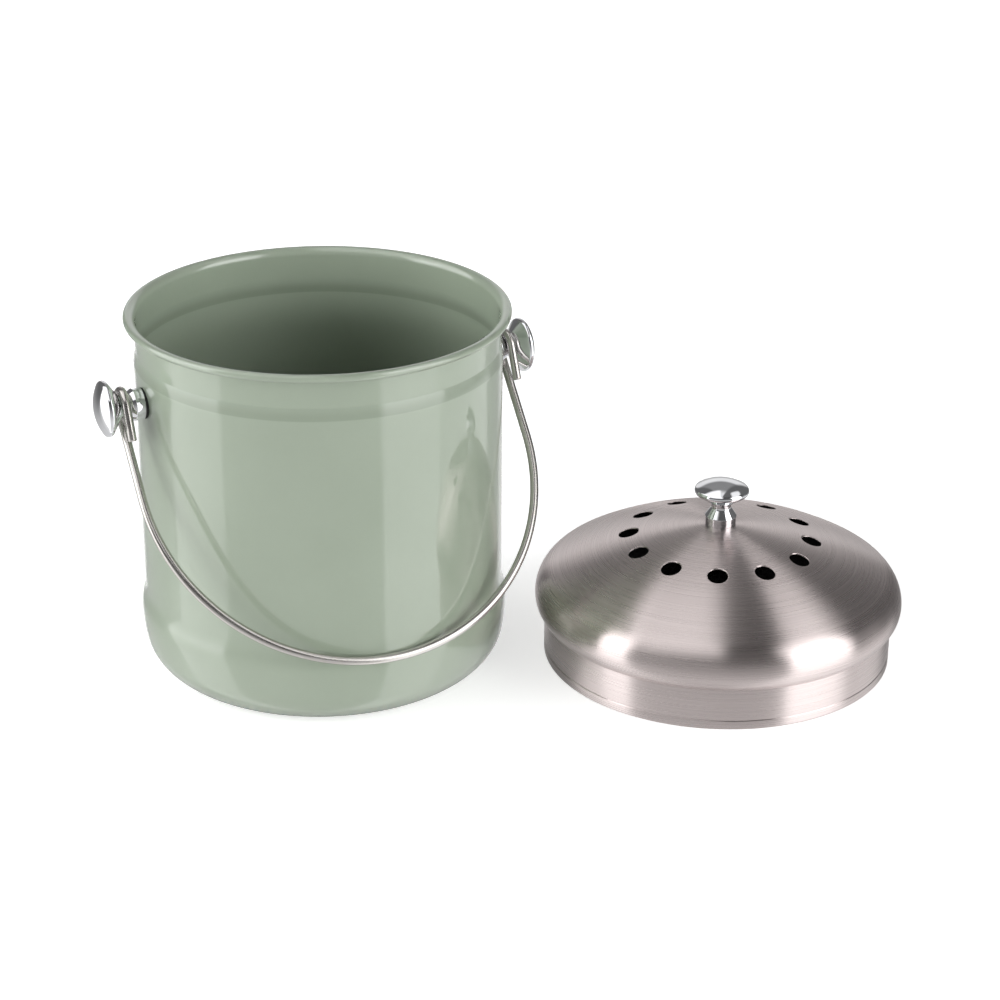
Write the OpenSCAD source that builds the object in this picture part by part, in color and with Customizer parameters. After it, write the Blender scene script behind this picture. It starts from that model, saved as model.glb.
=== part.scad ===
// Compost caddy for the kitchen worktop: a glossy steel pail with a bent-wire bail that turns on
// two round studs, and a vented lift-off lid that stands upright on the table beside the pail.
// All sizes are millimetres. The origin is the centre of the pail's base on the table, +X runs
// along the pivots of the bail to the right-hand stud, -Y is the front and +Z is up.

/* [Pail] */
// Outside radius of the straight body
body_r = 85.8; // [80:0.2:88]
// Height of the rim above the table
pail_h = 177; // [165:1:195]
// Thickness of the steel sheet of the pail and the lid
sheet = 0.7; // [0.5:0.05:0.9]
// How far the belly above the base stands out from the body
belly_out = 2; // [0.6:0.1:3]
// Radius of the two arcs that blend the belly into the body
belly_blend_r = 22; // [14:1:30]
// Radius of the arc that forms the side of the belly
belly_side_r = 82; // [60:1:100]
// Radius of the tight arc at the base corner
corner_r = 18; // [12:0.5:22]
// Radius of the arc that runs out flat under the base
under_r = 72; // [50:1:90]
// Radius of the wired bead rolled outward at the rim
bead_r = 1.8; // [1.4:0.1:2.2]
// Inside radius of the sheet where it flares into the bead
flare_r = 3; // [2.6:0.1:3.6]
// How much narrower the collar under the rim is than the body
ledge_step = 0.55; // [0.3:0.05:0.8]
// Distance from the rim down to the top of the ledge
ledge_drop = 17.2; // [15:0.2:20]
// Height of the sloping ledge
ledge_h = 5.5; // [3:0.5:7]

/* [Studs and lid knob] */
// Distance from the rim down to the axis of the studs
stud_drop = 34.5; // [33:0.5:45]
// Radius of the round base collar
knob_base_r = 7.3; // [6.8:0.1:7.8]
// Length of the base collar
knob_base_h = 3.9; // [3.4:0.1:4.2]
// Radius where the flare leaves the base collar
knob_flare_r = 7.6; // [7.3:0.1:8]
// Radius of the neck
knob_neck_r = 4.8; // [4:0.1:4.8]
// Radius of the mushroom head
knob_head_r = 13.1; // [11:0.1:14]
// Rise of the domed face above the middle of the rounded edge
knob_dome_h = 4.9; // [2.6:0.1:5.5]
// Thickness of the rubber gasket at its thinnest
gasket_t = 1; // [0.8:0.1:1.2]

/* [Bail] */
// Radius of the wire
wire_r = 2; // [1.6:0.05:2]
// Radius of the hook to the middle of the wire
hook_r = 7.2; // [7.2:0.1:7.6]
// Straight length of each leg below the pivot
leg_l = 42.6; // [38:0.2:46]
// Turn of the hook round the neck
hook_turn = 198; // [190:0.5:215]
// Length of the straight tail
tail_l = 16.8; // [8:0.2:18]
// Angle by which the bail leans out to the front from hanging straight
bail_lean = 43.1; // [43.1:0.1:70]

/* [Lid] */
// Radius of the lid at its widest
lid_r = 88.9; // [88:0.1:91]
// Outside radius of the skirt
skirt_r = 84.15; // [83:0.05:84.2]
// Height of the skirt up to the crease
skirt_h = 20.5; // [16:0.5:24]
// Radius of the arc that curls under from the widest line to the skirt
curl_r = 11.28; // [9:0.1:13]
// Radius of the shoulder
shoulder_r = 16.05; // [12:0.5:20]
// Angle of the shoulder before the dome takes over
shoulder_a = 60; // [50:1:66]
// Radius of the shallow dome
dome_r = 182.7; // [150:1:260]
// Number of vent holes
vents = 12; // [6:1:16]
// Radius of each vent hole
vent_r = 4.8; // [3:0.1:5.5]
// Radius of the ring of vent holes
vent_ring_r = 44; // [34:0.5:50]
// Height of the folded hem
hem_h = 4.6; // [3:0.1:6]

/* [Filter] */
// Radius of the charcoal pad
pad_r = 63.9; // [56:0.1:63.9]
// Thickness of the charcoal pad
pad_t = 6.5; // [4:0.5:7]
// Thickness of the plastic wall of the tray
tray_t = 1.6; // [1.2:0.1:2]
// Number of spokes under the pad
spokes = 6; // [3:1:8]

/* [Hidden] */
$fn = 96;

// Where the lid stands on the table
lid_at = [174.67, -77.59, 0];

// Pail: the belly is widest at the top of three arcs that meet without a corner
belly_r = body_r + belly_out;
side_a = 10;
corner_a = 80;
side_drop = belly_side_r * sin(side_a);
corner_drop = corner_r * (sin(corner_a) - sin(side_a));
belly_z = side_drop + corner_drop + under_r * (1 - sin(corner_a));
corner_c = [
    belly_r - (belly_side_r - corner_r) * (1 - cos(side_a)) - corner_r,
    belly_z - (belly_side_r - corner_r) * sin(side_a)
];
under_c = [
    corner_c[0] - (under_r - corner_r) * cos(corner_a),
    under_r
];
blend_a = acos(1 - belly_out / (2 * belly_blend_r));
blend_z = belly_z + 2 * belly_blend_r * sin(blend_a);
collar_r = body_r - ledge_step;
ledge_top = pail_h - ledge_drop;
ledge_bottom = ledge_top - ledge_h;

// Rim: the sheet flares out over a quarter turn and rolls round the bead
flare_c = [collar_r + flare_r, pail_h - flare_r - sheet];
bead_c = [flare_c[0], pail_h - bead_r];
rim_gap = bead_c[1] - flare_c[1];
rim_meet_z = (flare_r * flare_r - bead_r * bead_r + rim_gap * rim_gap) / (2 * rim_gap);
flare_end = 180 - asin(rim_meet_z / flare_r);
bead_start = 180 + asin((rim_gap - rim_meet_z) / bead_r);

// Studs: the base plane stands off the wall by the gasket
stud_z = pail_h - stud_drop;
stud_x = body_r + gasket_t;
neck_start = 8.4;
neck_end = 10.4;
head_edge = 1.8;
edge_c = [knob_head_r - head_edge, 17.2];
knob_h = edge_c[1] + knob_dome_h;
knob_dome_r = (edge_c[0] * edge_c[0] + knob_dome_h * knob_dome_h - head_edge * head_edge)
    / (2 * (knob_dome_h - head_edge));

// Screws: a pan-head screw runs through the sheet into the blind hole of the knob
shank_r = 2;
thread_hole_r = shank_r + 0.05;
clear_hole_r = shank_r + 0.25;
shank_l = 11;
blind_l = 9.4;
head_r = 4;
head_h = 2.4;
cross_w = 0.9;
cross_l = 4.4;
cross_deep = 1.3;
washer_r = 6;
washer_t = 1;
washer_x = sqrt(pow(body_r - sheet, 2) - washer_r * washer_r) - washer_t - 0.03;

// Bail: the hooks turn in the planes of the necks and the arch joins them
hook_x = stud_x + 9.1;
arch_r = hook_x;
tail_r = wire_r - 0.02;
tail_in = 0.3;
tail_edge = 0.5;

// Lid: the curl and the shoulder meet at the widest line, the dome carries on from the shoulder
curl_c_r = lid_r - curl_r;
curl_a = acos((skirt_r - curl_c_r) / curl_r);
wide_z = skirt_h + curl_r * sin(curl_a);
shoulder_c = [lid_r - shoulder_r, wide_z];
dome_c = shoulder_c - (dome_r - shoulder_r) * [cos(shoulder_a), sin(shoulder_a)];
flat_r = 8.4;
flat_z = dome_c[1] + sqrt(dome_r * dome_r - pow(flat_r - dome_c[0], 2));
flat_a = acos((flat_r - dome_c[0]) / dome_r);
hem_groove = 0.3;
lid_hole_r = clear_hole_r;

// Filter tray: a band inside the skirt carries a coned wall and a shelf for the pad
band_r = 82.35;
band_z = [8, 20];
shelf_z = 40.4;
pad_z = shelf_z + tray_t;
shelf_r = 56;
rim_r = pad_r + 0.6 + tray_t;
hub_r = 10;
spoke_w = 3;

// Points of an arc about c with radius r, from angle a to angle b in n steps
function arc(c, r, a, b, n) = [
    for (i = [0 : n])
        let (t = a + (b - a) * i / n)
        [c[0] + r * cos(t), c[1] + r * sin(t)]
];

// Points of a list in the opposite order
function backwards(p) = [for (i = [len(p) - 1 : -1 : 0]) p[i]];

// Side view of the pail's wall from the middle of the base to the ledge, inset by d from outside
function wall(d) = concat(
    [[0, d]],
    arc(under_c, under_r - d, -90, -corner_a, 3),
    arc(corner_c, corner_r - d, -corner_a, -side_a, 10),
    arc([belly_r - belly_side_r, belly_z], belly_side_r - d, -side_a, 0, 3),
    arc([belly_r - belly_blend_r, belly_z], belly_blend_r - d, 0, blend_a, 4),
    arc([body_r + belly_blend_r, blend_z], belly_blend_r + d, 180 + blend_a, 180, 4),
    [[body_r - d, ledge_bottom], [collar_r - d, ledge_top]]
);

// Side view of the lid's sheet from the flat top to the crease, inset by d from outside
function shell(d) = concat(
    [[0, flat_z - d], [flat_r - d / 4, flat_z - d]],
    arc(dome_c, dome_r - d, flat_a - 0.6, shoulder_a, 12),
    arc(shoulder_c, shoulder_r - d, shoulder_a, 0, 10),
    arc([curl_c_r, wide_z], curl_r - d, 0, -acos((skirt_r - d - curl_c_r) / (curl_r - d)), 8)
);

// One sheet of steel, drawn in one piece: flat base, round corner, belly, straight body, ledge,
// collar and a rolled rim, with a hole on each side for the stud's screw
module pail() {
    outside = concat(
        wall(0),
        arc(flare_c, flare_r, 180, flare_end, 5),
        arc(bead_c, bead_r, bead_start, 450, 20)
    );
    inside = concat(
        arc(flare_c, flare_r + sheet, 90, 180, 8),
        backwards(wall(sheet))
    );
    color("darkseagreen")
    difference() {
        rotate_extrude() polygon(concat(outside, inside));
        translate([0, 0, stud_z]) rotate([0, 90, 0])
            cylinder(r = clear_hole_r, h = 2 * body_r + 2, center = true);
    }
}

// Turned knob seen from its base plane: collar, flare, neck, coned underside, rounded edge and a
// domed face that runs on from the edge without a corner
module knob() {
    face_c = [0, knob_h - knob_dome_r];
    face_a = acos(edge_c[0] / (knob_dome_r - head_edge));
    difference() {
        rotate_extrude()
            polygon(concat(
                [[0, 0], [knob_base_r - 0.3, 0], [knob_base_r, 0.3], [knob_base_r, knob_base_h]],
                [[knob_flare_r, knob_base_h + 0.15], [knob_flare_r, knob_base_h + 0.45]],
                [[knob_neck_r + 0.15, neck_start - 0.1], [knob_neck_r, neck_start + 0.2]],
                [[knob_neck_r, neck_end]],
                arc(edge_c, head_edge, -54, face_a - 14, 7),
                arc(face_c, knob_dome_r, face_a, 90, 9)
            ));
        translate([0, 0, -1]) cylinder(r = thread_hole_r, h = blind_l + 1);
    }
}

// Turns what is drawn along +Z so that it points outward from the pail on side s, at the stud
module on_side(s, x) {
    translate([s * x, 0, stud_z]) rotate([0, 90 * s, 0]) children();
}

module left_stud() {
    color("gainsboro") on_side(-1, stud_x) knob();
}

module right_stud() {
    color("gainsboro") on_side(1, stud_x) knob();
}

// Rubber disc whose inner face follows the round wall of the pail
module stud_gasket(s) {
    color("black")
    difference() {
        on_side(s, body_r - 1) cylinder(r = knob_base_r - 0.1, h = gasket_t + 1);
        on_side(s, body_r - 2) cylinder(r = clear_hole_r, h = gasket_t + 3);
        cylinder(r = body_r, h = pail_h, $fn = 720);
    }
}

module left_stud_gasket() {
    stud_gasket(-1);
}

module right_stud_gasket() {
    stud_gasket(1);
}

// Flat washer with broken edges
module washer() {
    rotate_extrude()
        polygon([
            [clear_hole_r - 0.1, 0], [washer_r - 0.15, 0], [washer_r, 0.15],
            [washer_r, washer_t - 0.15], [washer_r - 0.15, washer_t], [clear_hole_r - 0.1, washer_t]
        ]);
}

module left_stud_washer() {
    color("silver") on_side(-1, washer_x) washer();
}

module right_stud_washer() {
    color("silver") on_side(1, washer_x) washer();
}

// Pan-head screw with a cross recess: the head lies below the plane z = 0 and the shank above it
module screw() {
    difference() {
        rotate_extrude()
            polygon(concat(
                [[0, shank_l], [0, -head_h]],
                arc([head_r - 1.6, 1.6 - head_h], 1.6, -90, 0, 6),
                [[head_r, 0], [shank_r, 0], [shank_r, shank_l - 0.6], [shank_r - 0.5, shank_l]]
            ));
        for (a = [0, 90])
            rotate([0, 0, a]) translate([-cross_l / 2, -cross_w / 2, -head_h - 1])
                cube([cross_l, cross_w, cross_deep + 1]);
    }
}

module left_stud_screw() {
    color("dimgray") on_side(-1, washer_x) screw();
}

module right_stud_screw() {
    color("dimgray") on_side(1, washer_x) screw();
}

// Hook, tail, leg and quarter of the arch on side s, drawn hanging straight down from the pivot
module half_bail(s) {
    // Hook in the plane x = hook_x, from the leg over the top and round the neck
    translate([s * hook_x, 0, 0]) rotate([90, 0, 90])
        rotate_extrude(angle = hook_turn) translate([hook_r, 0]) circle(r = wire_r);
    // Tail, let into the end of the hook, with a broken edge at its cut end
    translate([s * hook_x, hook_r * cos(hook_turn), hook_r * sin(hook_turn)])
        rotate([hook_turn, 0, 0]) rotate([-90, 0, 0]) {
            translate([0, 0, -tail_in]) cylinder(r = tail_r, h = tail_l + tail_in - tail_edge);
            translate([0, 0, tail_l - tail_edge])
                cylinder(r1 = tail_r, r2 = tail_r - tail_edge, h = tail_edge);
        }
    // Leg
    translate([s * hook_x, hook_r, -leg_l]) cylinder(r = wire_r, h = leg_l);
    // Quarter of the arch
    translate([0, hook_r, -leg_l]) rotate([-90, 0, 0]) rotate([0, 0, s > 0 ? 0 : 90])
        rotate_extrude(angle = 90) translate([arch_r, 0]) circle(r = wire_r);
}

// One bent wire, leaning against the front of the belly
module bail() {
    color("lightgray")
    translate([0, 0, stud_z]) rotate([-bail_lean, 0, 0]) {
        half_bail(-1);
        half_bail(1);
    }
}

// One sheet of steel: skirt with a folded hem, crease, curl, shoulder and a shallow vented dome
module lid_shell() {
    fold_r = skirt_r - 2 * sheet;
    outside = concat(
        shell(0),
        [[skirt_r, hem_h + hem_groove], [skirt_r - hem_groove, hem_h]],
        [[skirt_r, hem_h - hem_groove]],
        arc([skirt_r - sheet, sheet], sheet, 0, -180, 8)
    );
    inside = concat(
        [[fold_r, hem_h - 0.2], [fold_r + 0.2, hem_h], [skirt_r - sheet, hem_h]],
        backwards(shell(sheet))
    );
    color("silver")
    translate(lid_at)
    difference() {
        rotate_extrude() polygon(concat(outside, inside));
        for (i = [0 : vents - 1])
            rotate([0, 0, 360 * i / vents]) translate([vent_ring_r, 0, shelf_z])
                cylinder(r = vent_r, h = flat_z);
        translate([0, 0, shelf_z]) cylinder(r = lid_hole_r, h = flat_z);
    }
}

module lid_knob() {
    color("gainsboro") translate(lid_at + [0, 0, flat_z]) knob();
}

module lid_knob_washer() {
    color("silver") translate(lid_at + [0, 0, flat_z - sheet - washer_t]) washer();
}

module lid_knob_screw() {
    color("dimgray") translate(lid_at + [0, 0, flat_z - sheet - washer_t]) screw();
}

// Plastic tray that presses into the skirt from below: band, coned wall, shelf, rim and spokes
module filter_tray() {
    slope = tray_t * 1.2;
    color("black")
    translate(lid_at) {
        rotate_extrude()
            polygon([
                [band_r - tray_t, band_z[0]], [band_r - 0.4, band_z[0]], [band_r, band_z[0] + 0.4],
                [band_r, band_z[1]], [rim_r, shelf_z + 0.6], [rim_r, pad_z + pad_t - 0.3],
                [rim_r - 0.3, pad_z + pad_t], [rim_r - tray_t, pad_z + pad_t],
                [rim_r - tray_t, pad_z], [shelf_r, pad_z], [shelf_r, shelf_z],
                [rim_r - slope, shelf_z], [band_r - tray_t, band_z[1] - 0.8]
            ]);
        translate([0, 0, shelf_z]) cylinder(r = hub_r, h = tray_t);
        for (i = [0 : spokes - 1])
            rotate([0, 0, 360 * (i + 0.5) / spokes]) translate([hub_r - 2, -spoke_w / 2, shelf_z])
                cube([shelf_r + 3 - hub_r, spoke_w, tray_t]);
    }
}

// Round pad of charcoal-filled fibre lying on the shelf of the tray
module charcoal_filter() {
    color("darkslategray")
    translate(lid_at + [0, 0, pad_z])
        rotate_extrude()
            polygon([
                [0, 0], [pad_r - 1, 0], [pad_r, 1], [pad_r, pad_t - 1.5], [pad_r - 1.5, pad_t],
                [0, pad_t]
            ]);
}

pail();
left_stud();
right_stud();
left_stud_gasket();
right_stud_gasket();
left_stud_washer();
right_stud_washer();
left_stud_screw();
right_stud_screw();
bail();
lid_shell();
lid_knob();
lid_knob_washer();
lid_knob_screw();
filter_tray();
charcoal_filter();
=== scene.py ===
import math

import bmesh
import bpy
import numpy as np
from mathutils import Matrix


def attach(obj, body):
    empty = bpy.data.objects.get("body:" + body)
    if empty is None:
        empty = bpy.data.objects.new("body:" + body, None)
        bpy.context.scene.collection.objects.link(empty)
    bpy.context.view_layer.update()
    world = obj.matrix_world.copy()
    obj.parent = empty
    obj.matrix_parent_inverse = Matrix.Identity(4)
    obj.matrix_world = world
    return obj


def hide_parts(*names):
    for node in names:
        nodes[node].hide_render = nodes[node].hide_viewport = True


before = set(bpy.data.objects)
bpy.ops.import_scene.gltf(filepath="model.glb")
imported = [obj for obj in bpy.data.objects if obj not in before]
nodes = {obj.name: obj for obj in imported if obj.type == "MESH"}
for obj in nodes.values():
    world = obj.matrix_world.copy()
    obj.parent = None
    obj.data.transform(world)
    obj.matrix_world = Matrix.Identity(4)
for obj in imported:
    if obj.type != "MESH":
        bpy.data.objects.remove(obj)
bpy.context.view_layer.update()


# Camera: a long lens at eye height over a worktop, a little to the left of the pail's front.
# It looks down at about 24 degrees, so the mouth of the pail and the top of the lid both show.
view_right = (0.910716, -0.412999, 0.005262)
view_up = (0.163108, 0.371321, 0.914066)
view_back = (-0.379462, -0.831596, 0.405532)
camera_at = (-0.40216, -1.08593, 0.59162)
camera = bpy.data.objects.new("camera", bpy.data.cameras.new("camera"))
bpy.context.scene.collection.objects.link(camera)
camera.data.lens = 94.97
camera.data.sensor_width = 36
camera.data.clip_start = 0.05
turned_to_view = Matrix((view_right, view_up, view_back)).transposed().to_4x4()
camera.matrix_world = Matrix.Translation(camera_at) @ turned_to_view
bpy.context.scene.camera = camera
bpy.context.scene.view_settings.view_transform = "Standard"


# Studio: a dim room with a pale backdrop behind the pieces, a tall soft box at each side with a lamp
# in it, a low box and a slanting strip at the right, and a wide box overhead. The camera sees white
# instead, mirrors see the room, and matt faces get a softer light from it with less from above.
class Shade:
    """A value on its way through a tree of shader nodes. Arithmetic on it adds Math nodes."""

    def __init__(self, tree, socket=None):
        self.tree = tree
        self.socket = socket

    def add(self, kind, settings=(), sockets=(), out=0):
        """Adds a node of this kind, with its settings and then a value or a link for each socket."""
        node = self.tree.nodes.new(kind)
        for name, value in dict(settings).items():
            if name == "stops":
                while len(node.color_ramp.elements) < len(value):
                    node.color_ramp.elements.new(1)
                for stop, (place, colour) in zip(node.color_ramp.elements, value):
                    stop.position = place
                    stop.color = (*colour, 1)
            else:
                setattr(node, name, value)
        for name, value in dict(sockets).items():
            if isinstance(value, Shade):
                self.tree.links.new(value.socket, node.inputs[name])
            else:
                node.inputs[name].default_value = value
        return Shade(self.tree, node.outputs[out] if node.outputs else None)

    def pick(self, name):
        """Another output of the same node."""
        return Shade(self.tree, self.socket.node.outputs[name])

    def maths(self, operation, *values):
        """A Math node with these values in its sockets."""
        return self.add("ShaderNodeMath", {"operation": operation}, dict(enumerate(values)))

    def __add__(self, other):
        return self.maths("ADD", self, other)

    def __sub__(self, other):
        return self.maths("SUBTRACT", self, other)

    def __rsub__(self, other):
        return self.maths("SUBTRACT", other, self)

    def __mul__(self, other):
        return self.maths("MULTIPLY", self, other)

    def __truediv__(self, other):
        return self.maths("DIVIDE", self, other)

    def __abs__(self):
        return self.maths("ABSOLUTE", self)

    def step(self, low, high, start=0.0, end=1.0):
        """A smooth rise from start to end while the value goes from low to high."""
        sockets = {"Value": self, "From Min": low, "From Max": high, "To Min": start, "To Max": end}
        return self.add("ShaderNodeMapRange", {"interpolation_type": "SMOOTHSTEP"}, sockets)

    __radd__ = __add__
    __rmul__ = __mul__


studio = bpy.data.worlds.new("studio")
bpy.context.scene.world = studio
studio.use_nodes = True
studio.node_tree.nodes.clear()
sky = Shade(studio.node_tree)
apart = sky.add("ShaderNodeSeparateXYZ", {}, {0: sky.add("ShaderNodeTexCoord").pick("Generated")})
camera_side, in_degrees = math.radians(-114.5), 180 / math.pi
side = apart.pick("Y") * math.cos(camera_side) - apart.pick("X") * math.sin(camera_side)
near = apart.pick("X") * math.cos(camera_side) + apart.pick("Y") * math.sin(camera_side)
# Degrees round the vertical, from 0 at the camera's side to 180 behind the pieces, positive at the
# right, and degrees above the horizon. A light is a span of the one times a span of the other.
bearing = sky.maths("ARCTAN2", side, near) * in_degrees
height = sky.maths("ARCSINE", apart.pick("Z")) * in_degrees
above = sky.maths("MAXIMUM", apart.pick("Z"), 0.05)


def box(value, low, high, edge):
    """1 while the value lies between low and high, with soft edges of this width, and 0 beyond."""
    half = edge / 2
    return value.step(low - half, low + half) * value.step(high - half, high + half, 1, 0)


horizon = height.step(-45, 32, 0.8, 0.1)
aside = height.step(-45, 0, 0.72, 0.14)
beyond = abs(bearing).step(104, 116)
backdrop = (
    height.step(-26, -12, 0.9, 0.48) + height.step(-2, 10, 0, 0.4) - height.step(22, 32, 0, 0.6)
    + height.step(60, 76, 0, 0.6)
)
behind = abs(bearing).step(153, 161)
dim_foot = height.step(-20, 5, 0.6, 1)
left_box = (bearing + height * 0.25).step(-112, -106) * bearing.step(-62, -56, 1, 0)
left_box = left_box * height.step(40, 60, 2.4, 0) * dim_foot
right_box = box(bearing, 41, 85, 7) * height.step(42, 60, 2.6, 0) * dim_foot
lamp_span = box(height, 20, 32, 4) * 4.5
left_lamp = box(bearing, -84, -62, 4) * lamp_span
right_lamp = box(bearing, 46, 84, 4) * lamp_span
low_box = box(bearing, 70, 134, 10) * height.step(-20, -8, 1.15, 0)
slant = 1.85
along_slant = near * math.cos(slant) + side * math.sin(slant)
strip_height = sky.maths("ARCTANGENT", apart.pick("Z") / along_slant) * in_degrees
strip = box(bearing, 62, 140, 10) * box(strip_height, 49, 68, 6) * 1.05
overhead = box(side / above, -1.15, 0.03, 0.16) * box(near / above, -0.5, 1.0, 0.2) * 1.32
brightness = (horizon * (1 - beyond) + aside * beyond) * (1 - behind) + backdrop * behind
for lamp in (left_box, right_box, low_box, strip, overhead, left_lamp, right_lamp):
    brightness = sky.maths("MAXIMUM", brightness, lamp)
paths = sky.add("ShaderNodeLightPath")
seen, mirrored = paths.pick("Is Camera Ray"), paths.pick("Is Glossy Ray")
front_heights = box(height, 8, 14, 3) * 4.8 + box(height, -4, 24, 14) * 0.35
front_fill = box(bearing, -70, 70, 50) * front_heights
side_fill = box(abs(bearing), 60, 140, 50) * box(height, -4, 24, 10) * side.step(-0.3, 0.3, 3.0, 1.3)
softened_light = brightness * height.step(28, 50, 1, 0.2) + front_fill + side_fill
strength = seen + (1 - seen) * (mirrored * brightness + (1 - mirrored) * softened_light)
glow = sky.add("ShaderNodeBackground", {}, {"Color": (1, 1, 1, 1), "Strength": strength})
sky.add("ShaderNodeOutputWorld", {}, {"Surface": glow})
studio.cycles.sampling_method = "NONE"


# Table: a matt white sheet under the pail and the lid, which keeps their soft contact shadows.
# Reflections look through it into the studio, except where it lies in the shade of the pieces, and
# from below it doesn't show, so that the undersides of the pieces do.
half_width = 4.0
floor_mesh = bpy.data.meshes.new("table")
corners = [(-half_width, -half_width, 0), (half_width, -half_width, 0),
           (half_width, half_width, 0), (-half_width, half_width, 0)]
floor_mesh.from_pydata(corners, [], [(0, 1, 2, 3)])
floor = bpy.data.objects.new("table", floor_mesh)
bpy.context.scene.collection.objects.link(floor)
table_white = bpy.data.materials.new("table_white")
table_white.use_nodes = True
table_white.node_tree.nodes.clear()
sheet = Shade(table_white.node_tree)
lit = sheet.add("ShaderNodeBsdfDiffuse", {}, {"Color": (0.86, 0.86, 0.86, 1)})
path = sheet.add("ShaderNodeLightPath")
glow_strength = path.pick("Is Camera Ray") * 0.57 + 0.03
bright = sheet.add("ShaderNodeEmission", {}, {"Color": (1, 1, 1, 1), "Strength": glow_strength})
both = sheet.add("ShaderNodeAddShader", {}, {0: lit, 1: bright})
openness = sheet.add("ShaderNodeAmbientOcclusion", {"samples": 6}, {"Distance": 0.12}).pick("AO")
clear = sheet.add("ShaderNodeBsdfTransparent", {}, {"Color": (1, 1, 1, 1)})
shade = sheet.add("ShaderNodeEmission", {}, {"Color": (0.10, 0.11, 0.10, 1), "Strength": 1.0})
in_mirrors = sheet.add("ShaderNodeMixShader", {}, {0: openness.step(0.05, 0.42), 1: shade, 2: clear})
top = sheet.add("ShaderNodeMixShader", {}, {0: path.pick("Is Glossy Ray"), 1: both, 2: in_mirrors})
below = sheet.add("ShaderNodeNewGeometry").pick("Backfacing")
surface = sheet.add("ShaderNodeMixShader", {}, {0: below, 1: top, 2: clear})
sheet.add("ShaderNodeOutputMaterial", {}, {"Surface": surface})
floor_mesh.materials.append(table_white)


# Pail: one deep-drawn steel sheet, 0.7 mm thick, with a flat base, a full round corner, a belly,
# a straight body, a ledge that lifts the lid's hem off it, a collar and a rim rolled over a bead.
# Sprayed inside and out in sage green and stoved to a high gloss with a faint orange peel.
body_r, collar_r, belly_r = 85.8, 85.25, 87.8
gauge, pail_h, bead_r, flare_r = 0.7, 177.0, 1.8, 3.0
belly_z, blend_z, blend_r, blend_turn = 29.934, 43.049, 22.0, 17.342
base_arc_r, corner_r, belly_arc_r, corner_turn = 72.0, 18.0, 82.0, 10
lean_r = belly_arc_r - corner_r
corner_at = (
    belly_r - lean_r * (1 - math.cos(math.radians(corner_turn))) - corner_r,
    belly_z - lean_r * math.sin(math.radians(corner_turn)),
)
under_at = (
    corner_at[0] - (base_arc_r - corner_r) * math.cos(math.radians(90 - corner_turn)), base_arc_r
)
flare_at = (collar_r + flare_r, pail_h - flare_r - gauge)
bead_at = (flare_at[0], pail_h - bead_r)
ledge_z, ledge_foot_z, ledge_swell = 154.3, 138, 0.3


def arc(centre, radius, start, end, steps):
    """Points of an arc in a side view: centre + radius * (cos a, sin a), in steps from start to end.

    Angles are in degrees, and the arc has steps + 1 points.
    """
    turn = np.radians(np.linspace(start, end, steps + 1))
    return np.stack([centre[0] + radius * np.cos(turn), centre[1] + radius * np.sin(turn)], 1)


def softened(path, cut, steps=6):
    """Side view with rounded corners, each a parabola that leaves the path cut before the corner and
    rejoins it cut after: (1 - t)^2 leave + 2 t (1 - t) corner + t^2 rejoin, with t from 0 to 1."""
    path = np.array(path, float)
    cut = np.broadcast_to(np.asarray(cut, float), len(path) - 2)[:, None]
    corner, before, after = path[1:-1], path[:-2], path[2:]
    leave = corner + (before - corner) / np.linalg.norm(before - corner, axis=1)[:, None] * cut
    rejoin = corner + (after - corner) / np.linalg.norm(after - corner, axis=1)[:, None] * cut
    t = np.linspace(0, 1, steps + 1)[:, None]
    bend = (1 - t) ** 2 * leave[:, None] + 2 * t * (1 - t) * corner[:, None] + t**2 * rejoin[:, None]
    return np.concatenate([path[:1], bend.reshape(-1, 2), path[-1:]])


def turned(profile, columns=192):
    """Grid of a turned form: each (radius, height) of the side view goes once round the Z axis, as
    (radius cos a, radius sin a, height) for a from 0 to 360 degrees."""
    turn = np.linspace(0, 2 * np.pi, columns + 1)
    radius, high = profile[:, 0, None], profile[:, 1, None]
    return np.stack([radius * np.cos(turn), radius * np.sin(turn), high + 0 * turn], 2)


def run_length(profile):
    """Distance along the side view from its first point to each point."""
    return np.concatenate([[0], np.cumsum(np.linalg.norm(np.diff(profile, axis=0), axis=1))])


def skin(name, grids, runs, material, body, node, crease=40):
    """One piece over grids of points in millimetres, rows by columns, each with the run along its rows.

    Equal points at seams and poles are merged, faces are turned outward, and edges sharper than crease
    degrees stay crisp. The UV map holds (turn round the form, run along it) in metres.
    """
    points, faces, charts, start = [], [], [], 0
    for grid, run in zip(grids, runs):
        rows, columns = grid.shape[:2]
        index = start + np.arange(rows * columns).reshape(rows, columns)
        faces.append(
            np.stack([index[:-1, :-1], index[:-1, 1:], index[1:, 1:], index[1:, :-1]], 2).reshape(-1, 4)
        )
        across = np.broadcast_to(np.linspace(0, 1, columns), (rows, columns))
        along = np.broadcast_to(run if np.ndim(run) == 2 else np.asarray(run)[:, None], (rows, columns))
        charts.append(np.stack([across, along * 0.001], 2).reshape(-1, 2))
        points.append(grid.reshape(-1, 3) * 0.001)
        start += rows * columns
    points, faces, charts = map(np.concatenate, (points, faces, charts))
    mesh = bpy.data.meshes.new(name)
    mesh.from_pydata(points.tolist(), [], faces.tolist())
    mesh.uv_layers.new(name="run").data.foreach_set("uv", charts[faces.ravel()].ravel())
    work = bmesh.new()
    work.from_mesh(mesh)
    bmesh.ops.remove_doubles(work, verts=work.verts, dist=2e-6)
    bmesh.ops.recalc_face_normals(work, faces=work.faces)
    work.to_mesh(mesh)
    work.free()
    mesh.shade_smooth()
    mesh.set_sharp_from_angle(angle=math.radians(crease))
    mesh.materials.append(material)
    piece = bpy.data.objects.new(name, mesh)
    bpy.context.scene.collection.objects.link(piece)
    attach(piece, body)
    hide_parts(node)
    return piece


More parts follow.
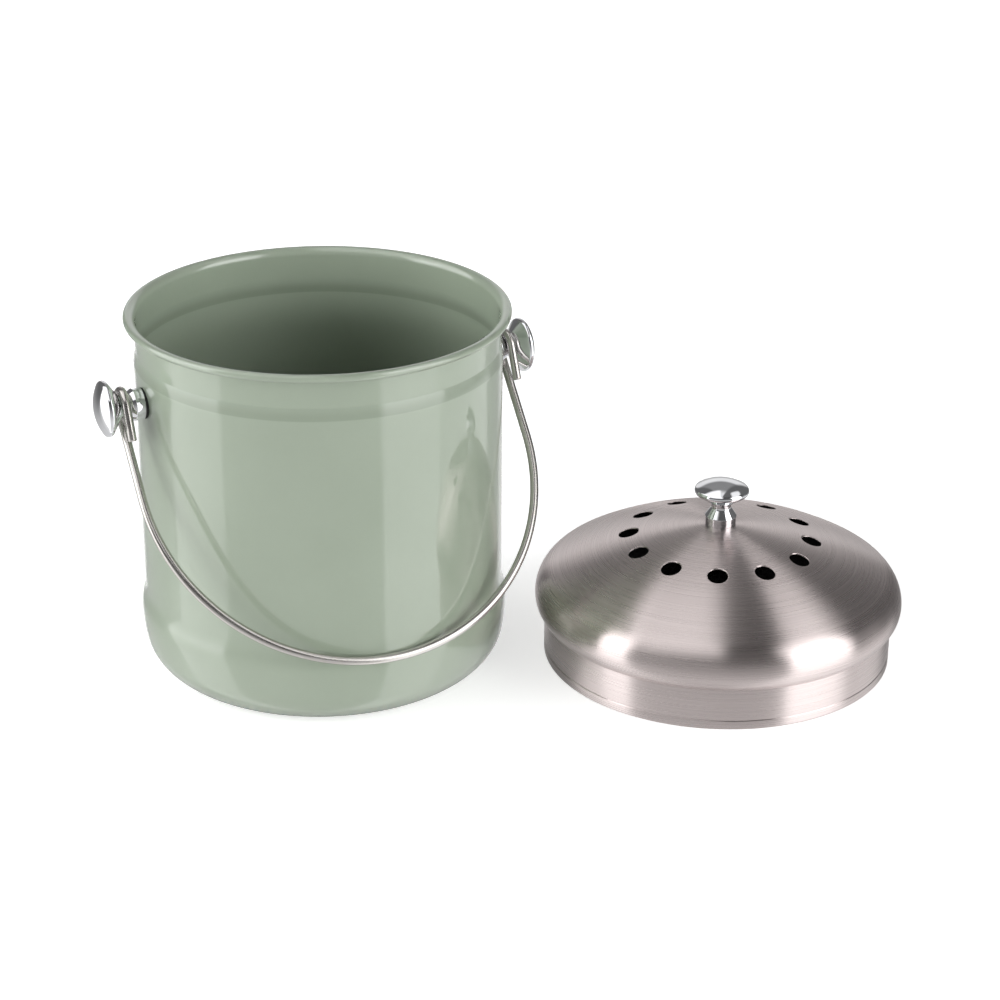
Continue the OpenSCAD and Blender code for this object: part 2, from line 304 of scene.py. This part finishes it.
def finish_of(name, **constants):
    """A new material, whose Principled shader's sockets get these constants, with its Shade and that
    shader."""
    material = bpy.data.materials.new(name)
    material.use_nodes = True
    shader = material.node_tree.nodes["Principled BSDF"]
    for socket, value in constants.items():
        shader.inputs[socket.replace("_", " ")].default_value = value
    return material, Shade(material.node_tree), shader


def feed(shade, shader, **links):
    """Links values or colours to the sockets of the shader that these names give."""
    for socket, value in links.items():
        shade.tree.links.new(value.socket, shader.inputs[socket.replace("_", " ")])


def pail_wall(inset):
    """Side view of the sheet from the middle of the base to the collar, inset from its outer face.

    The body swells by ledge_swell * t^2 toward the ledge, with t from 0 at its foot to 1 at its edge.
    """
    high = np.array([60, ledge_foot_z, 141, 144, 147, 150, 152.5, ledge_z])
    swell = body_r + ledge_swell * np.clip((high - ledge_foot_z) / (ledge_z - ledge_foot_z), 0, 1) ** 2
    soft = 0.4 + inset * 4.0
    neck = [(collar_r - 0.2, 159.9), (collar_r - 0.1, 163.5), (collar_r, 170)]
    step_in = softened([(swell[-1], ledge_z), *neck], [soft, 2.0], 8)
    ledge = np.concatenate([np.stack([swell, high], 1), step_in[1:]]) - (inset, 0)
    return np.concatenate([
        [(0, inset)],
        arc(under_at, base_arc_r - inset, -90, corner_turn - 90, 8),
        arc(corner_at, corner_r - inset, corner_turn - 90, -corner_turn, 32)[1:],
        arc((belly_r - belly_arc_r, belly_z), belly_arc_r - inset, -corner_turn, 0, 8)[1:],
        arc((belly_r - blend_r, belly_z), blend_r - inset, 0, blend_turn, 8)[1:],
        arc((body_r + blend_r, blend_z), blend_r + inset, 180 + blend_turn, 180, 8)[1:],
        ledge,
    ])


pail_side = np.concatenate([
    pail_wall(0),
    arc(flare_at, flare_r, 180, 124.7, 8),
    arc(bead_at, bead_r, 161.7, 450, 40)[1:],
    arc(flare_at, flare_r + gauge, 90, 180, 16)[1:],
    pail_wall(gauge)[::-1],
])
sage, paint, gloss = finish_of(
    "sage_enamel", Coat_Roughness=0.02, Coat_IOR=1.8, Specular_IOR_Level=0.25
)
place = paint.add("ShaderNodeTexCoord").pick("Object")
cloud = paint.add("ShaderNodeTexNoise", {}, {"Vector": place, "Scale": 22.0, "Detail": 3.0})
peel = paint.add("ShaderNodeTexNoise", {}, {"Vector": place, "Scale": 420.0, "Detail": 2.0})
speck = paint.add("ShaderNodeTexNoise", {}, {"Vector": place, "Scale": 2600.0, "Detail": 1.0})
green = paint.add(
    "ShaderNodeValToRGB",
    {"stops": [(0.3, (0.288, 0.342, 0.264)), (0.7, (0.308, 0.362, 0.283))]},
    {"Fac": cloud * 0.8 + speck * 0.2},
)
ripple = paint.add("ShaderNodeBump", {}, {"Height": peel, "Strength": 0.05, "Distance": 0.0004})
# Painted shade: over the band of the ledge the green is mixed a little toward a dark green, which
# darkens the band as if it lay in shade.
high_up = paint.add("ShaderNodeSeparateXYZ", {}, {0: place}).pick("Z") * 1000
painted_ledge_shade = high_up.step(153.9, 154.5) * high_up.step(155.5, 161, 1, 0) * 0.22
ledge_shade_tone = (0.08, 0.11, 0.07, 1)
green = paint.add("ShaderNodeMix", {"data_type": "RGBA"}, {0: painted_ledge_shade, 6: green, 7: ledge_shade_tone}, 2)
feed(
    paint, gloss,
    Base_Color=green, Roughness=cloud * 0.1 + 0.3, Normal=ripple, Coat_Weight=speck * 0.1 + 0.9,
)
pail = skin("pail_sheet", [turned(pail_side, 288)], [run_length(pail_side)], sage, "pail", "pail")


# Studs: two solid turnings, polished and chromed all over, with a round collar that sits on the
# wall, a flare, a neck for the bail's hook and a mushroom head. A screw from inside holds each.
stud_x, stud_z = 86.8, 142.5
foot_r, lip_r, neck_r, head_top = 7.3, 7.6, 4.8, 22.1
edge_at, edge_r, face_r, face_turn = (11.3, 17.2), 1.8, 23.945, 59.32
knob_side = np.concatenate([
    softened(
        [(0, 0), (foot_r, 0), (foot_r, 3.95), (lip_r, 4.1), (lip_r, 4.4),
         (neck_r, 8.5), (neck_r, 10.4), (12.34, 15.731)],
        [0.25, 0.03, 0.08, 0.12, 0.5, 0.5],
    ),
    arc(edge_at, edge_r, -54.7, face_turn, 16),
    arc((0, head_top - face_r), face_r, face_turn, 90, 24),
])
knob_run = run_length(knob_side)
chrome, plate, mirror = finish_of("chrome_plate", Metallic=1.0, IOR=2.5)
polish_place = plate.add("ShaderNodeTexCoord").pick("Object")
haze = plate.add("ShaderNodeTexNoise", {}, {"Vector": polish_place, "Scale": 160.0, "Detail": 4.0})
steel_blue = plate.add(
    "ShaderNodeValToRGB",
    {"stops": [(0.35, (0.78, 0.785, 0.81)), (0.7, (0.84, 0.845, 0.86))]},
    {"Fac": haze},
)
wheel = plate.add("ShaderNodeBump", {}, {"Height": haze, "Strength": 0.02, "Distance": 0.0003})
feed(plate, mirror, Base_Color=steel_blue, Roughness=haze * 0.06 + 0.02, Normal=wheel)
knob_grid = turned(knob_side, 128)
# The rows of each matrix lay the upright turning on its side, with its head pointing out along X.
outward = {
    "left_stud": np.array([(0, 0, -1), (0, 1, 0), (1, 0, 0)]),
    "right_stud": np.array([(0, 0, 1), (0, 1, 0), (-1, 0, 0)]),
}
for name, way in outward.items():
    at = np.array([stud_x * way[0, 2], 0, stud_z])
    stud = skin(name + "_turning", [knob_grid @ way.T + at], [knob_run], chrome, "pail", name)


# Gaskets: thin discs of black rubber punched from sheet, squeezed between the studs and the wall.
def paint_node(name, material):
    """Gives a piece that comes from the solids this material and no other."""
    nodes[name].data.materials.clear()
    nodes[name].data.materials.append(material)


rubber, gum, gum_face = finish_of("gasket_rubber", Specular_IOR_Level=0.4)
gum_place = gum.add("ShaderNodeTexCoord").pick("Object")
grain = gum.add("ShaderNodeTexNoise", {}, {"Vector": gum_place, "Scale": 900.0, "Detail": 3.0})
soot = gum.add(
    "ShaderNodeValToRGB",
    {"stops": [(0.3, (0.010, 0.010, 0.010)), (0.75, (0.022, 0.022, 0.021))]},
    {"Fac": grain},
)
pores = gum.add("ShaderNodeBump", {}, {"Height": grain, "Strength": 0.3, "Distance": 0.0002})
feed(gum, gum_face, Base_Color=soot, Roughness=grain * 0.2 + 0.5, Normal=pores)
for name in ("left_stud_gasket", "right_stud_gasket"):
    paint_node(name, rubber)


# Screws and washers: zinc-plated steel, stamped and rolled, with a faint blue passivation. The
# heads lie inside the pail and under the dome of the lid.
zinc, flash, zinc_face = finish_of("zinc_plate", Metallic=1.0)
zinc_place = flash.add("ShaderNodeTexCoord").pick("Object")
spangle = flash.add("ShaderNodeTexNoise", {}, {"Vector": zinc_place, "Scale": 500.0, "Detail": 4.0})
bluish = flash.add(
    "ShaderNodeValToRGB",
    {"stops": [(0.3, (0.50, 0.51, 0.54)), (0.7, (0.64, 0.645, 0.66))]},
    {"Fac": spangle},
)
stamped = flash.add("ShaderNodeBump", {}, {"Height": spangle, "Strength": 0.15, "Distance": 0.0002})
feed(flash, zinc_face, Base_Color=bluish, Roughness=spangle * 0.2 + 0.22, Normal=stamped)
for name in (
    "left_stud_washer", "right_stud_washer", "left_stud_screw", "right_stud_screw",
    "lid_knob_washer", "lid_knob_screw",
):
    paint_node(name, zinc)


# Bail: 4 mm stainless wire, bent in one piece: at each end a tail, a hook round the neck of the stud
# and a straight leg, and between them a half-round arch. Drawn and tumbled, so it has a satin shine
# with fine draw lines.
wire_r, hook_r, hook_x, leg_l = 2.0, 7.2, 95.9, 42.6
hook_turn, tail_l, lean = math.radians(198), 16.8, math.radians(-43.1)


def wire_path():
    """Middle of the wire hanging straight down, from the right-hand tail to the left-hand tail.

    A hook is hook_r * (cos a, sin a) round the pivot, and the arch hook_x * (cos a, -sin a) under the
    legs. With each point comes the direction from which a ring of the tube measures its angles.
    """
    turn = np.linspace(hook_turn, 0, 64)
    hook = np.stack([0 * turn + hook_x, hook_r * np.cos(turn), hook_r * np.sin(turn)], 1)
    leave = np.array([0, -math.sin(hook_turn), math.cos(hook_turn)])
    out = np.array([tail_l, tail_l - 0.1, tail_l - 0.35, tail_l - 0.7, 9, 5, 2])
    tail = hook[0] + leave * out[:, None]
    leg = np.stack([[hook_x] * 11, [hook_r] * 11, np.linspace(0, -leg_l, 13)[1:-1]], 1)
    sweep = np.linspace(0, np.pi, 161)
    arch = np.stack([hook_x * np.cos(sweep), 0 * sweep + hook_r, -leg_l - hook_x * np.sin(sweep)], 1)
    half = np.concatenate([tail, hook, leg])
    other = (half * (-1, 1, 1))[::-1]
    side = np.tile([1.0, 0, 0], (len(half), 1))
    lean_in = np.stack([np.cos(sweep), 0 * sweep, -np.sin(sweep)], 1)
    return np.concatenate([half, arch, other]), np.concatenate([side, lean_in, -side])


middle, sideways = wire_path()
ahead = np.gradient(middle, axis=0)
ahead /= np.linalg.norm(ahead, axis=1)[:, None]
inward = np.cross(ahead, sideways)
# The first and last rings close the tails' ends, with a small radius round their edges.
thick = np.full(len(middle), wire_r)
thick[:3] = (0, wire_r - 0.45, wire_r - 0.1)
thick[-3:] = thick[2::-1]
middle[1], middle[-2] = middle[0], middle[-1]
round_wire = np.linspace(0, 2 * np.pi, 33)[None, :, None]
tube = middle[:, None] + thick[:, None, None] * (
    np.cos(round_wire) * sideways[:, None] + np.sin(round_wire) * inward[:, None]
)
swing = np.array([
    (1, 0, 0), (0, math.cos(lean), -math.sin(lean)), (0, math.sin(lean), math.cos(lean))
])
satin, drawn, wire_face = finish_of("satin_wire", Metallic=1.0, Anisotropic=0.3)
wire_chart = drawn.add("ShaderNodeTexCoord").pick("UV")
streak_place = drawn.add("ShaderNodeMapping", {}, {"Vector": wire_chart, "Scale": (26.0, 40.0, 1.0)})
streak = drawn.add("ShaderNodeTexNoise", {}, {"Vector": streak_place, "Scale": 1.0, "Detail": 5.0})
warm_steel = drawn.add(
    "ShaderNodeValToRGB",
    {"stops": [(0.3, (0.50, 0.475, 0.45)), (0.72, (0.66, 0.64, 0.615))]},
    {"Fac": streak},
)
lines = drawn.add("ShaderNodeBump", {}, {"Height": streak, "Strength": 0.25, "Distance": 0.0001})
feed(drawn, wire_face, Base_Color=warm_steel, Roughness=streak * 0.14 + 0.16, Normal=lines)
hung = tube @ swing.T + np.array([0, 0, stud_z])
bail = skin("bail_wire", [hung], [run_length(middle)], satin, "bail", "bail")


# Lid: one drawn stainless sheet, as thick as the pail's: a straight skirt with its edge folded
# inside, a crease, a curl that rests on the pail's rim, a shoulder and a shallow dome with twelve
# punched vent holes. Brushed while it turned, so it throws the light into bright and dark fans.
lid_at = np.array([174.67, -77.59, 0.0])
skirt_r, skirt_h, hem_h, hem_mark = 84.15, 20.5, 4.6, 0.3
curl_at, curl_r, shoulder_at, shoulder_r = (77.62, 29.698), 11.28, (72.85, 29.698), 16.05
dome_at, dome_r, shoulder_turn = (-10.475, -114.625), 182.7, 60
flat_r, screw_r, inner_ring, outer_ring, vent_ring, vent_r = 8.4, 2.25, 33.0, 55.0, 44.0, 4.8
sectors, across, beside = 12, 16, 10


def dome_height(radius, inset):
    """Height of the dome at a distance from its axis: that of a circle about dome_at, which is
    dome_at[1] + sqrt(r^2 - (radius - dome_at[0])^2), and level inside flat_r."""
    radius = np.maximum(radius, flat_r)
    return dome_at[1] + np.sqrt((dome_r - inset) ** 2 - (radius - dome_at[0]) ** 2)


def lid_edge(inset):
    """Side view of the sheet from the outer ring over the shoulder and the curl to the skirt, inset
    from its outer face."""
    ring_turn = math.degrees(math.acos((outer_ring - dome_at[0]) / (dome_r - inset)))
    tuck = math.degrees(math.acos((skirt_r - inset - curl_at[0]) / (curl_r - inset)))
    return np.concatenate([
        arc(dome_at, dome_r - inset, ring_turn, shoulder_turn, 24),
        arc(shoulder_at, shoulder_r - inset, shoulder_turn, 0, 32)[1:],
        arc(curl_at, curl_r - inset, 0, -tuck, 20)[1:],
    ])


outer_edge, inner_edge = lid_edge(0), lid_edge(gauge)
skirt = softened(
    [(skirt_r, skirt_h), (skirt_r, hem_h + hem_mark), (skirt_r - hem_mark, hem_h),
     (skirt_r, hem_h - hem_mark), (skirt_r, gauge)],
    [0.12, 0.12, 0.12], 4,
)
hem = np.concatenate([
    arc((skirt_r - gauge, gauge), gauge, 0, -180, 12)[1:],
    [(skirt_r - 2 * gauge, hem_h - 0.2), (skirt_r - 2 * gauge + 0.2, hem_h), (skirt_r - gauge, hem_h)],
])
rim_side = np.concatenate([outer_edge, skirt, hem, inner_edge[::-1]])
centre_radii = np.concatenate([
    [screw_r], np.linspace(flat_r - 1, flat_r + 1, 5), np.linspace(12, inner_ring, 12)
])
centre_side = np.concatenate([
    np.stack([centre_radii, dome_height(centre_radii, 0)], 1)[::-1],
    np.stack([centre_radii, dome_height(centre_radii, gauge)], 1),
])
# The ring of vents is made of equal sectors. In each, lines run from the sector's border to the hole,
# over its punched lip, down through the sheet and back to the border on the inside.
fan = 2 * math.pi / sectors
spread = np.linspace(-fan / 2, fan / 2, across + 1)
rise = np.linspace(inner_ring, outer_ring, beside + 1)
edge_radius = np.concatenate([
    np.full(across, inner_ring), rise[:-1], np.full(across, outer_ring), rise[:0:-1], [inner_ring]
])
edge_turn = np.concatenate([
    spread[:-1], np.full(beside, fan / 2), spread[:0:-1], np.full(beside, -fan / 2), [-fan / 2]
])
border = np.stack([edge_radius * np.cos(edge_turn), edge_radius * np.sin(edge_turn)], 1)
hole = np.array([vent_ring, 0])
reach = np.linalg.norm(border - hole, axis=1)
away = (border - hole) / reach[:, None]
spacing = np.array([1, 0.72, 0.5, 0.34, 0.22, 0.13, 0.07])[:, None]
lip_out = np.array([0.34, 0.24, 0.12, 0.03, 0])[:, None]
lip_down = np.array([0, 0.012, 0.07, 0.18, 0.32])
wide = vent_r + (reach - vent_r) * spacing
lip = vent_r + lip_out + 0 * reach
plan = np.concatenate([wide, lip, lip[::-1], wide[::-1]])
level = 0 * spacing[:, 0]
sunk = np.concatenate([level, lip_down, gauge - lip_down[::-1] * 0.3, level + gauge])
flat = hole + away * plan[..., None]
far = np.linalg.norm(flat, axis=2)
vent = np.stack([flat[..., 0], flat[..., 1], dome_height(far, 0) - sunk[:, None]], 2)
vent[-len(spacing):, :, 2] = dome_height(far[-len(spacing):], gauge)
turns = np.arange(sectors) * fan
nil = 0 * turns
spin = np.array([
    [np.cos(turns), -np.sin(turns), nil], [np.sin(turns), np.cos(turns), nil], [nil, nil, nil + 1]
])
vents = np.einsum("abk,rcb->krca", spin, vent)
quarter_turn = 0.25
brushed, wheel_marks, lid_face = finish_of(
    "brushed_steel", Metallic=1.0, Anisotropic=1.0, Anisotropic_Rotation=quarter_turn
)
lid_chart = wheel_marks.add("ShaderNodeTexCoord")
lid_place = wheel_marks.add("ShaderNodeSeparateXYZ", {}, {0: lid_chart.pick("Object")})
lid_run = wheel_marks.add("ShaderNodeSeparateXYZ", {}, {0: lid_chart.pick("UV")}).pick("Y")


def marks(fine, drift):
    """Lines that run round the lid: noise that changes fast along the sheet's run and slowly over the
    plan."""
    at = wheel_marks.add(
        "ShaderNodeCombineXYZ",
        {},
        {"X": lid_place.pick("X") * drift, "Y": lid_place.pick("Y") * drift, "Z": lid_run * fine},
    )
    return wheel_marks.add("ShaderNodeTexNoise", {}, {"Vector": at, "Scale": 1.0, "Detail": 4.0})


hair, scratch = marks(9000.0, 9.0), marks(2000.0, 12.0)
tone = wheel_marks.add(
    "ShaderNodeValToRGB",
    {"stops": [(0.32, (0.53, 0.469, 0.460)), (0.68, (0.73, 0.646, 0.634))]},
    {"Fac": hair * 0.55 + scratch * 0.45},
)
relief = wheel_marks.add(
    "ShaderNodeBump", {}, {"Height": hair * 0.6 + scratch * 0.4, "Strength": 0.22, "Distance": 0.00008}
)
feed(wheel_marks, lid_face, Base_Color=tone, Roughness=scratch * 0.08 + 0.24, Normal=relief)
vent_run = dome_r * np.arcsin((far - dome_at[0]) / dome_r)
ring_run = dome_r * math.asin((outer_ring - dome_at[0]) / dome_r)
centre_run = dome_r * np.arcsin((centre_side[:, 0] - dome_at[0]) / dome_r)
lid = skin(
    "lid_sheet",
    [turned(centre_side) + lid_at, turned(rim_side) + lid_at, *(vents + lid_at)],
    [centre_run, run_length(rim_side) + ring_run, *[vent_run] * sectors],
    brushed, "lid", "lid_shell", 32,
)


# Lid knob: the same chromed turning as the studs, stood upright on the flat middle of the dome
# and held by a screw from below.
knob_seat = lid_at + np.array([0, 0, 67.097])
knob = skin("lid_knob_turning", [knob_grid + knob_seat], [knob_run], chrome, "lid", "lid_knob")


# Filter tray: black polypropylene, moulded in one shot with spokes under a shelf, and pressed up
# into the skirt. Its faces have a fine spark-eroded texture.
plastic, moulded, tray_face = finish_of("moulded_black", Specular_IOR_Level=0.45)
tray_place = moulded.add("ShaderNodeTexCoord").pick("Object")
eroded = moulded.add("ShaderNodeTexNoise", {}, {"Vector": tray_place, "Scale": 1500.0, "Detail": 3.0})
flow = moulded.add("ShaderNodeTexNoise", {}, {"Vector": tray_place, "Scale": 30.0, "Detail": 2.0})
black = moulded.add(
    "ShaderNodeValToRGB",
    {"stops": [(0.3, (0.008, 0.008, 0.009)), (0.7, (0.016, 0.016, 0.017))]},
    {"Fac": flow},
)
texture = moulded.add("ShaderNodeBump", {}, {"Height": eroded, "Strength": 0.35, "Distance": 0.0001})
feed(moulded, tray_face, Base_Color=black, Roughness=eroded * 0.15 + 0.45, Normal=texture)
paint_node("filter_tray", plastic)


# Charcoal pad: needled fibre filled with charcoal dust, cut to a disc 6.5 mm thick, laid loose on
# the tray's shelf. It shows as black through the vent holes.
pad_r, pad_low, pad_high, pad_slope = 63.9, 42.0, 48.5, 0.5
tuft_pitch, tuft_depth, tuft_fade = 0.9, 0.25, 8
pad_side = softened(
    [(0, pad_low), (pad_r - pad_slope, pad_low), (pad_r, pad_low + 3),
     (pad_r - pad_slope, pad_high), (0, pad_high)],
    [1.2, 1.2, 1.2],
)
rings = np.linspace(0, 1, 60)[:, None]
pad_side = np.concatenate([
    pad_side[0] + (pad_side[1] - pad_side[0]) * rings, pad_side[2:-2],
    pad_side[-2] + (pad_side[-1] - pad_side[-2]) * rings,
])
pad_grid = turned(pad_side, 144)
tufts = np.sin(pad_grid[..., 0] * tuft_pitch) * np.sin(pad_grid[..., 1] * tuft_pitch)
tufts *= np.minimum(1, (pad_r - pad_side[:, 0]) / tuft_fade)[:, None]
pad_grid[..., 2] -= tuft_depth * (1 + tufts) * (pad_grid[..., 2] > pad_low + 5)
felt, needled, felt_face = finish_of("charcoal_felt", Specular_IOR_Level=0.2)
felt_place = needled.add("ShaderNodeTexCoord").pick("Object")
fibre = needled.add("ShaderNodeTexNoise", {}, {"Vector": felt_place, "Scale": 1100.0, "Detail": 5.0})
dust = needled.add("ShaderNodeTexVoronoi", {}, {"Vector": felt_place, "Scale": 900.0})
char = needled.add(
    "ShaderNodeValToRGB",
    {"stops": [(0.3, (0.004, 0.004, 0.004)), (0.8, (0.020, 0.020, 0.021))]},
    {"Fac": fibre},
)
fuzz = needled.add("ShaderNodeBump", {}, {"Height": fibre + dust, "Strength": 0.7, "Distance": 0.0005})
feed(needled, felt_face, Base_Color=char, Roughness=fibre * 0.2 + 0.75, Normal=fuzz)
pad_run = run_length(pad_side)
pad = skin("charcoal_pad", [pad_grid + lid_at], [pad_run], felt, "filter", "charcoal_filter")
